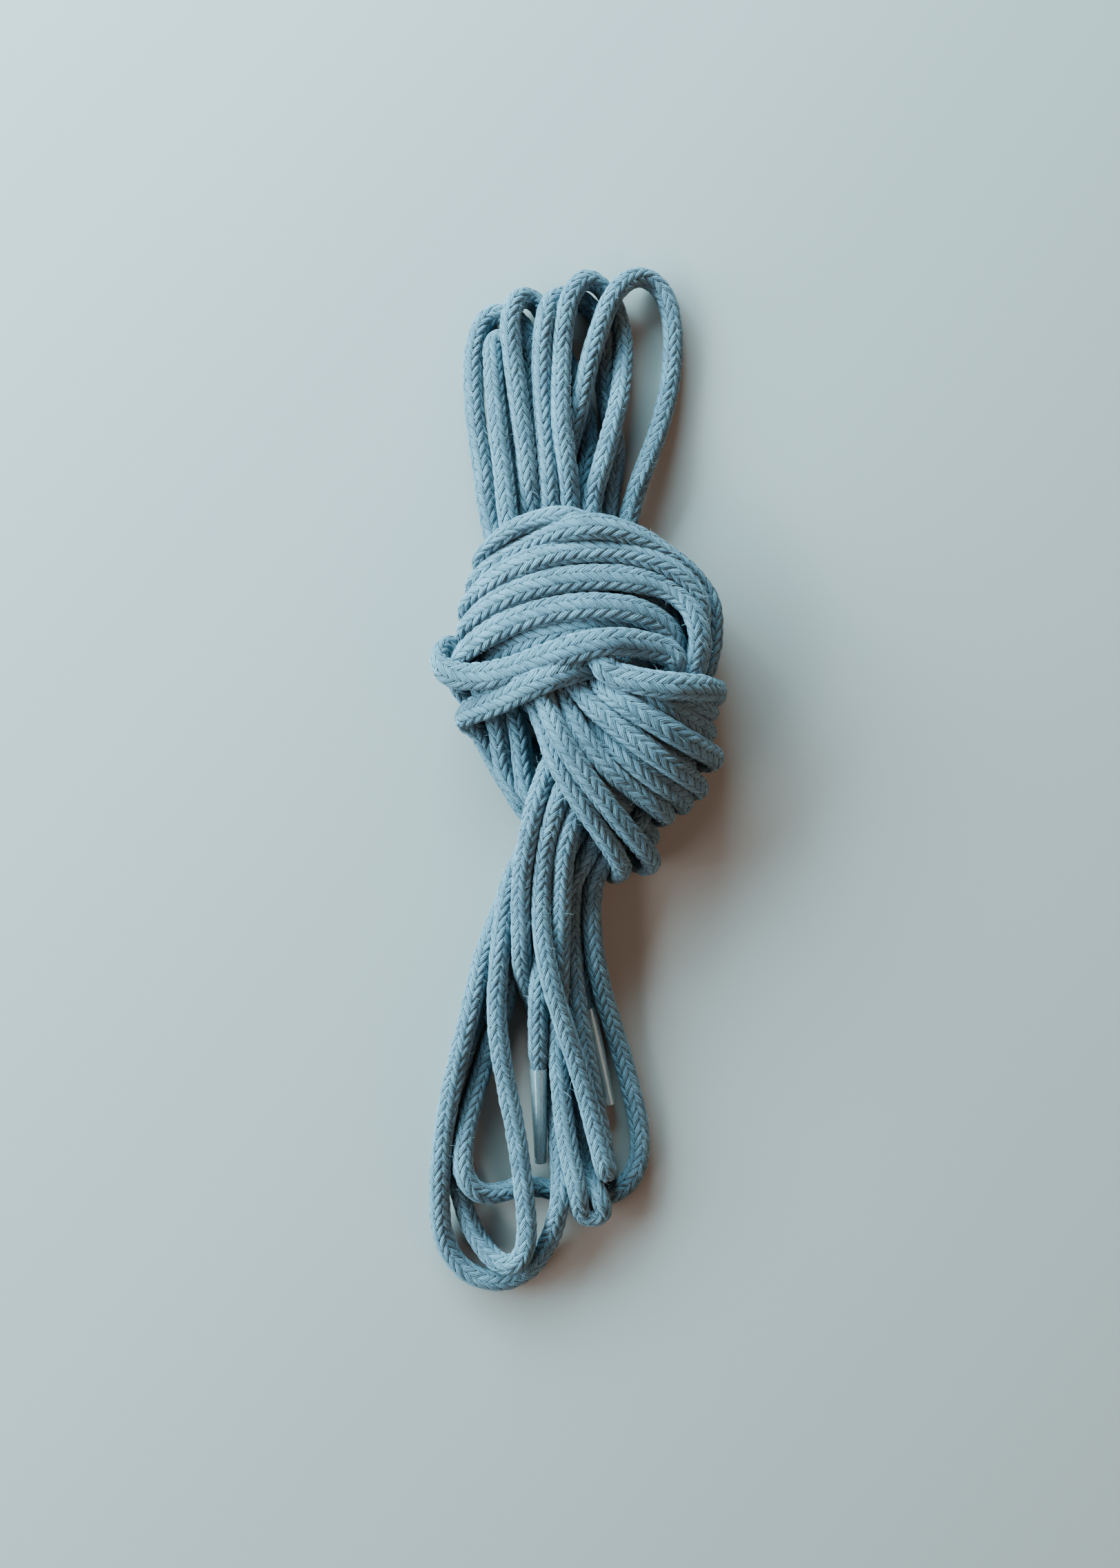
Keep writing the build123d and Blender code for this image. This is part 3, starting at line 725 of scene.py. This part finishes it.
def lace_surface(at, turn, radius):
    """Points of the lace's surface at distances at and angles turn, pressed flat in the knot, and the
    directions from the centre line to them."""
    place, side, up = line.at(at)
    roll = turn + ROLL * slow_noise(at, ROLL_WAVELENGTH, 3)
    out = side * np.cos(roll)[..., None] + up * np.sin(roll)[..., None]
    squeeze = np.interp(at, sample_along, sample_flat)[..., None]
    ahead = np.cross(side, up)
    normal = (place - KNOT_CENTRE) / KNOT_HALF**2
    normal -= ahead * (normal * ahead).sum(-1, keepdims=True)
    normal /= np.linalg.norm(normal, axis=-1, keepdims=True)
    across = np.cross(ahead, normal)
    wide = 1 + squeeze * WIDEN
    thin = 1 - squeeze * THIN
    out_across = across * (out * across).sum(-1, keepdims=True) * wide
    out_through = normal * (out * normal).sum(-1, keepdims=True) * thin
    out = out_across + out_through
    change = THICKNESS_CHANGE * slow_noise(at, THICKNESS_WAVELENGTH, 5)
    point = place + out * (radius * (1 + change))[..., None]
    point[..., 2] = np.maximum(point[..., 2], LOWEST)
    return point, out


def braid_piece(name, first_row, last_row):
    """A stretch of braided sheath as one mesh, with the stitch coordinates as its UVs."""
    rows = np.arange(first_row, last_row + 1)
    around = np.arange(AROUND)
    x = (around % PER_COLUMN) / PER_COLUMN
    slant = np.where((around // PER_COLUMN) % 2 == 0, x, 1 - x) - 0.5
    at = np.clip(rows[:, None] * ROW_STEP + STITCH_RISE * slant[None], 0, line.length)
    turn = np.broadcast_to((around * 2 * math.pi / AROUND)[None], at.shape)
    radius = taper(at) * (CROWN_R + stitch_relief(rows))
    vertices, _ = lace_surface(at, turn, radius)
    obj = mesh_object(name, vertices.reshape(-1, 3), ring_faces(len(rows), AROUND))
    row, column = np.divmod(np.arange((len(rows) - 1) * AROUND), AROUND)
    u = np.stack([column, column + 1, column + 1, column], axis=1) / PER_COLUMN
    v = (np.stack([row, row, row + 1, row + 1], axis=1) + first_row) / ROWS_PER_STITCH
    layer = obj.data.uv_layers.new(name="stitches")
    layer.data.foreach_set("uv", np.stack([u, v], axis=-1).astype(np.float32).ravel())
    return obj


def core_tube(name):
    """The braid's plain core, and the points that it follows."""
    count = int(line.length / CORE_STEP) + 1
    at = np.linspace(0, line.length, count)
    angle = np.arange(CORE_AROUND) * 2 * math.pi / CORE_AROUND
    ring_at = np.broadcast_to(at[:, None], (count, CORE_AROUND))
    turn = np.broadcast_to(angle[None], ring_at.shape)
    vertices, _ = lace_surface(ring_at, turn, CORE_R * taper(ring_at))
    obj = mesh_object(name, vertices.reshape(-1, 3), ring_faces(count, CORE_AROUND))
    return obj, line.at(at)[0]


# ---------------------------------------------------------------------------------------------
# Materials.


class Nodes:
    """A material's node tree, with short calls for its sums."""

    def __init__(self, name):
        self.material = bpy.data.materials.new(name)
        self.material.use_nodes = True
        self.tree = self.material.node_tree
        self.shader = self.tree.nodes["Principled BSDF"]

    def link(self, value, socket):
        if isinstance(value, bpy.types.NodeSocket):
            self.tree.links.new(value, socket)
        else:
            socket.default_value = value

    def math(self, operation, a, b=0.0):
        node = self.tree.nodes.new("ShaderNodeMath")
        node.operation = operation
        self.link(a, node.inputs[0])
        self.link(b, node.inputs[1])
        return node.outputs[0]

    def add(self, *values):
        total = values[0]
        for value in values[1:]:
            total = self.math("ADD", total, value)
        return total

    def times(self, a, b):
        return self.math("MULTIPLY", a, b)

    def less(self, a, b):
        return self.math("SUBTRACT", a, b)

    def vector(self, x, y, z):
        node = self.tree.nodes.new("ShaderNodeCombineXYZ")
        for value, socket in zip((x, y, z), node.inputs):
            self.link(value, socket)
        return node.outputs[0]

    def white(self, place):
        node = self.tree.nodes.new("ShaderNodeTexWhiteNoise")
        self.link(place, node.inputs["Vector"])
        return node.outputs["Value"]

    def noise(self, place, scale, detail=2.0):
        node = self.tree.nodes.new("ShaderNodeTexNoise")
        self.link(place, node.inputs["Vector"])
        node.inputs["Scale"].default_value = scale
        node.inputs["Detail"].default_value = detail
        return node.outputs["Fac"]

    def ramp(self, value, stops):
        node = self.tree.nodes.new("ShaderNodeValToRGB")
        self.link(value, node.inputs[0])
        elements = node.color_ramp.elements
        while len(elements) < len(stops):
            elements.new(0.5)
        for element, (position, colour) in zip(elements, stops):
            element.position = position
            element.color = (*colour, 1)
        return node.outputs[0]

    def bump(self, height, strength, distance):
        node = self.tree.nodes.new("ShaderNodeBump")
        node.inputs["Strength"].default_value = strength
        node.inputs["Distance"].default_value = distance
        self.link(height, node.inputs["Height"])
        return node.outputs[0]


YARNS = 4.0
AGLET_CLOUDY = (0.58, 0.73, 0.76)
AGLET_CLEAR = (0.80, 0.91, 0.93)
# The lace's colours from the palest tone to the deepest; the deepest is reached mostly in the painted shade
# of the slits.
LACE_PALE = (0.200, 0.305, 0.365)
LACE_MID = (0.098, 0.150, 0.184)
LACE_DEEP = (0.013, 0.023, 0.031)


def lace_material():
    """Braided cotton: combed yarns side by side in each stitch, with painted shade between the yarns and in
    the slits at the stitches' ends. The UVs count columns one way and stitches the other."""
    n = Nodes("braided_cotton")
    uv = n.tree.nodes.new("ShaderNodeUVMap")
    uv.uv_map = "stitches"
    split = n.tree.nodes.new("ShaderNodeSeparateXYZ")
    n.link(uv.outputs[0], split.inputs[0])
    u = split.outputs[0]
    v = split.outputs[1]
    object_place = n.tree.nodes.new("ShaderNodeTexCoord").outputs["Object"]

    # Which stitch this is, and the place in it: x along its column's width, across from one slit to
    # the next. Stitches of odd columns are half a stitch later, and their borders wander a little.
    column = n.math("FLOOR", u)
    odd = n.math("MODULO", column, 2.0)
    wander = n.times(n.less(n.noise(object_place, 650.0), 0.5), 0.2)
    phase = n.add(n.less(v, n.times(odd, 0.5)), wander)
    stitch = n.math("FLOOR", phase)
    across = n.less(phase, stitch)
    x = n.less(u, column)
    own = n.white(n.vector(column, stitch, 0.5))
    other = n.white(n.vector(stitch, column, 2.5))

    # The slits between stitches, wider and darker at the stitches' ends, where the yarns dive under: a dip
    # in the bump, and painted shade in the colour.
    end_in = n.math("ABSOLUTE", n.less(n.times(x, 2.0), 1.0))
    end_square = n.times(end_in, end_in)
    stitch_in = n.math("ABSOLUTE", n.less(n.times(across, 2.0), 1.0))
    slit_width = n.add(0.05, n.times(end_square, n.add(0.12, n.times(own, 0.22))))
    slit = n.math("DIVIDE", n.less(stitch_in, n.less(1.0, slit_width)), slit_width)
    slit = n.math("MAXIMUM", slit, 0.0)
    slit_depth = n.add(0.30, n.times(end_square, n.add(0.50, n.times(other, 0.6))))
    slit_dip_and_shade = n.times(slit, slit_depth)
    # Painted shade at each stitch's tucked ends, also a dip in the bump.
    tuck_dip_and_shade = n.times(n.math("POWER", end_in, 6.0), 0.22)

    # The yarns side by side in a stitch, and the fibres combed along them.
    yarn_at = n.times(across, YARNS)
    yarn = n.math("FLOOR", yarn_at)
    yarn_in = n.less(n.times(n.less(yarn_at, yarn), 2.0), 1.0)
    # Each yarn is round: raised on its crown in the bump, and painted lighter on its crown and darker at
    # its edges, as shade between the yarns.
    yarn_round = n.less(1.0, n.times(yarn_in, yarn_in))
    yarn_relief_and_shade = n.times(yarn_round, n.add(0.25, other))
    yarn_own = n.white(n.vector(n.add(column, 0.31), stitch, yarn))
    comb = n.vector(
        n.add(n.times(x, 1.6), n.times(own, 37.0)),
        n.times(across, 9.0),
        n.add(n.times(stitch, 1.7), column),
    )
    combed = n.noise(comb, 1.0, 3.0)
    fibre = n.noise(object_place, 4200.0, 3.0)
    cloud = n.noise(object_place, 120.0, 2.0)

    # The tone: stitch, yarn, fibre and cloud tones that differ at random, plus the painted light and shade
    # across each yarn.
    tone = n.add(
        0.34,
        n.times(own, 0.16),
        n.times(yarn_own, 0.12),
        n.times(n.less(combed, 0.5), 1.05),
        n.times(n.less(fibre, 0.5), 0.55),
        n.times(n.less(cloud, 0.5), 0.45),
        n.times(yarn_relief_and_shade, 0.2),
    )
    # Painted shade: the colour is darkened in the slits and at the stitches' ends, down towards LACE_DEEP;
    # the bump takes the same dips.
    tone = n.less(tone, n.add(slit_dip_and_shade, tuck_dip_and_shade))
    colour = n.ramp(tone, [(0.0, LACE_DEEP), (0.45, LACE_MID), (0.95, LACE_PALE)])
    height = n.add(n.times(yarn_relief_and_shade, 0.35), n.times(combed, 0.7), n.times(fibre, 0.55))
    height = n.less(height, n.add(slit_dip_and_shade, tuck_dip_and_shade))
    n.link(colour, n.shader.inputs["Base Color"])
    n.link(n.bump(height, 1.0, 0.0004), n.shader.inputs["Normal"])
    n.shader.inputs["Roughness"].default_value = 0.92
    n.shader.inputs["Specular IOR Level"].default_value = 0.2
    n.shader.inputs["Sheen Weight"].default_value = 0.3
    n.shader.inputs["Sheen Roughness"].default_value = 0.5
    n.shader.inputs["Sheen Tint"].default_value = (0.75, 0.88, 0.95, 1)
    return n.material


def plain_cotton(name, deep, pale, scale):
    """Cotton without the braid's stitches, for the core and the stray fibres."""
    n = Nodes(name)
    object_place = n.tree.nodes.new("ShaderNodeTexCoord").outputs["Object"]
    tone = n.noise(object_place, scale, 3.0)
    n.link(n.ramp(tone, [(0.3, deep), (0.7, pale)]), n.shader.inputs["Base Color"])
    n.shader.inputs["Roughness"].default_value = 0.9
    n.shader.inputs["Specular IOR Level"].default_value = 0.2
    return n.material


def aglet_material():
    """Clear film with faint cloudy streaks along it."""
    n = Nodes("clear_aglet")
    object_place = n.tree.nodes.new("ShaderNodeTexCoord").outputs["Object"]
    stretch = n.tree.nodes.new("ShaderNodeMapping")
    stretch.inputs["Scale"].default_value = (1.0, 0.12, 1.0)
    n.link(object_place, stretch.inputs["Vector"])
    streak = n.noise(stretch.outputs[0], 1500.0, 2.0)
    colour = n.ramp(streak, [(0.3, AGLET_CLOUDY), (0.7, AGLET_CLEAR)])
    n.link(colour, n.shader.inputs["Base Color"])
    n.link(n.add(0.02, n.times(streak, 0.1)), n.shader.inputs["Roughness"])
    n.link(n.bump(streak, 0.3, 0.00012), n.shader.inputs["Normal"])
    n.shader.inputs["Transmission Weight"].default_value = 0.78
    n.shader.inputs["Coat Weight"].default_value = 1.0
    n.shader.inputs["Coat Roughness"].default_value = 0.04
    n.shader.inputs["IOR"].default_value = 1.46
    return n.material


# ---------------------------------------------------------------------------------------------
# Stray fibres that stand off the braid.

FIBRES = 26000
FIBRE_WIDTH = 0.034
FIBRE_SEGMENTS = 3
FIBRE_ROOT_DEPTH = 0.1
BARE_NEAR_AGLET = 3
FIBRE_LOWEST = 0.05


def fibre_fuzz(name):
    """Fine curved strips that leave the surface at a low angle."""
    random = np.random.default_rng(11)
    bare = AGLET_LENGTH + BARE_NEAR_AGLET
    at = random.uniform(bare, line.length - bare, FIBRES)
    turn = random.uniform(0, 2 * math.pi, FIBRES)
    root, out = lace_surface(at, turn, np.full(FIBRES, LACE_R - FIBRE_ROOT_DEPTH))
    out /= np.linalg.norm(out, axis=1)[:, None]
    ahead = line.read(line.ahead, at)
    ahead /= np.linalg.norm(ahead, axis=1)[:, None]
    aside = np.cross(ahead, out)
    lean = random.uniform(-math.pi, math.pi, FIBRES)[:, None]
    along = ahead * np.cos(lean) + aside * np.sin(lean)
    length = random.gamma(3.0, 0.36, FIBRES)[:, None].clip(0.3, 3.2)
    rise = random.uniform(0.15, 0.85, FIBRES)[:, None]
    curl = random.normal(0, 0.5, (FIBRES, 3))
    steps = np.linspace(0, 1, FIBRE_SEGMENTS + 1)[None, :, None]
    onward = along[:, None] * (1 - 0.2 * steps)
    upward = out[:, None] * rise[:, None] * (1 - 0.55 * steps)
    curling = curl[:, None] * steps * 0.35
    spine = root[:, None] + length[:, None] * steps * (onward + upward + curling)
    spine[..., 2] = np.maximum(spine[..., 2], FIBRE_LOWEST)
    width = FIBRE_WIDTH * (1 - 0.6 * steps)
    flat_way = np.cross(out, along)
    flat_way /= np.linalg.norm(flat_way, axis=1)[:, None]
    half = flat_way[:, None] * width / 2
    vertices = np.stack([spine - half, spine + half], axis=2)
    base = np.arange(FIBRES)[:, None] * 2 * (FIBRE_SEGMENTS + 1)
    corners = np.array((0, 1, 3, 2))
    quads = [base + 2 * k + corners for k in range(FIBRE_SEGMENTS)]
    return mesh_object(name, vertices.reshape(-1, 3), np.concatenate(quads))


# ---------------------------------------------------------------------------------------------
# Building the pieces.

lace = lace_material()
core, core_path = core_tube("lace_core")
core_cotton = plain_cotton("core_cotton", (0.10, 0.14, 0.16), (0.20, 0.26, 0.29), 2500.0)
core.data.materials.append(core_cotton)

# The braid is one piece for each loop, tail, lace end and leg, in their order along the lace. One
# piece ends and the next begins at the row halfway between their control points.
names = [part_of[0]]
borders = [0]
for i in range(1, len(part_of)):
    if part_of[i] != part_of[i - 1]:
        names.append(part_of[i])
        borders.append(int(round((point_along[i - 1] + point_along[i]) / 2 / ROW_STEP)))
borders.append(int(line.length / ROW_STEP))

shown = []
knot_legs = []
for name, low, high in zip(names, borders, borders[1:]):
    in_knot = isinstance(name, int)
    piece = braid_piece(f"knot_leg_{name}" if in_knot else f"{name}_braid", low, high)
    piece.data.materials.append(lace)
    if in_knot:
        knot_legs.append(piece)
    else:
        shown.append(piece)
        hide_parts(name)


def join(pieces, name):
    """One object made of several."""
    bpy.ops.object.select_all(action="DESELECT")
    for piece in pieces:
        piece.select_set(True)
    bpy.context.view_layer.objects.active = pieces[0]
    bpy.ops.object.join()
    pieces[0].name = name
    return pieces[0]


# The twelve legs go two by two into six pieces that stand for the knot.
knot_legs.sort(key=lambda piece: int(piece.name.split("_")[-1]))
for k in range(0, len(knot_legs), 2):
    strands = join(knot_legs[k : k + 2], f"knot_strands_{k // 2 + 1}")
    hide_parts("knot")
    shown.append(strands)
fuzz = fibre_fuzz("stray_fibres")
stray_cotton = plain_cotton("stray_cotton", (0.46, 0.56, 0.60), (0.66, 0.76, 0.80), 900.0)
fuzz.data.materials.append(stray_cotton)
clear = aglet_material()
aglets = [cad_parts["aglet_1"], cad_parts["aglet_2"]]
for aglet in aglets:
    aglet.data.materials.clear()
    aglet.data.materials.append(clear)
for piece in [core, fuzz, *shown]:
    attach(piece, "root")

# ---------------------------------------------------------------------------------------------
# The floor, the light and the camera.

FLOOR_HALF = 3000.0
FLOOR_SIGNS = np.array([(-1, -1, 0), (1, -1, 0), (1, 1, 0), (-1, 1, 0)])
floor = mesh_object("floor", FLOOR_HALF * FLOOR_SIGNS, np.array([[0, 1, 2, 3]]))
floor_nodes = Nodes("pale_floor")
floor_nodes.shader.inputs["Base Color"].default_value = (0.41, 0.35, 0.315, 1)
floor_nodes.shader.inputs["Roughness"].default_value = 0.9
floor.data.materials.append(floor_nodes.material)


LIGHTS_AIM = (0, 0.01, 0)
SKY_BLUE = (0.42, 0.83, 1.0)
WORLD_COLOUR = (0.98, 0.92, 0.86, 1)
WORLD_STRENGTH = 0.08


def area_light(name, place, width, height, power, colour):
    """A rectangular light that faces the knot. Its place and size are in metres."""
    light = bpy.data.lights.new(name, "AREA")
    light.shape = "RECTANGLE"
    light.size = width
    light.size_y = height
    light.energy = power
    light.color = colour
    obj = bpy.data.objects.new(name, light)
    obj.location = place
    facing = Vector(LIGHTS_AIM) - Vector(place)
    obj.rotation_euler = facing.to_track_quat("-Z", "Y").to_euler()
    bpy.context.scene.collection.objects.link(obj)


area_light("key_light", (-0.68, 0.3, 0.3), 1.0, 0.34, 38, SKY_BLUE)
area_light("top_light", (-0.2, 0.62, 0.26), 0.5, 0.2, 15, SKY_BLUE)
area_light("strip_light", (-0.6, -0.28, 0.45), 0.5, 0.15, 3, (0.80, 0.94, 1.0))
area_light("fill_light", (0.7, -0.2, 0.5), 0.8, 0.8, 2.8, (1.0, 0.76, 0.58))
world = bpy.data.worlds.new("studio")
world.use_nodes = True
background = world.node_tree.nodes["Background"]
background.inputs["Color"].default_value = WORLD_COLOUR
background.inputs["Strength"].default_value = WORLD_STRENGTH
bpy.context.scene.world = world

VIEW_HALF_HEIGHT = 182.0
camera = bpy.data.cameras.new("camera")
camera.sensor_fit = "VERTICAL"
camera.angle_y = 2 * math.atan(VIEW_HALF_HEIGHT / CAMERA_HEIGHT)
camera_object = bpy.data.objects.new("camera", camera)
camera_object.location = (0, 0, CAMERA_HEIGHT / 1000)
bpy.context.scene.collection.objects.link(camera_object)
bpy.context.scene.camera = camera_object
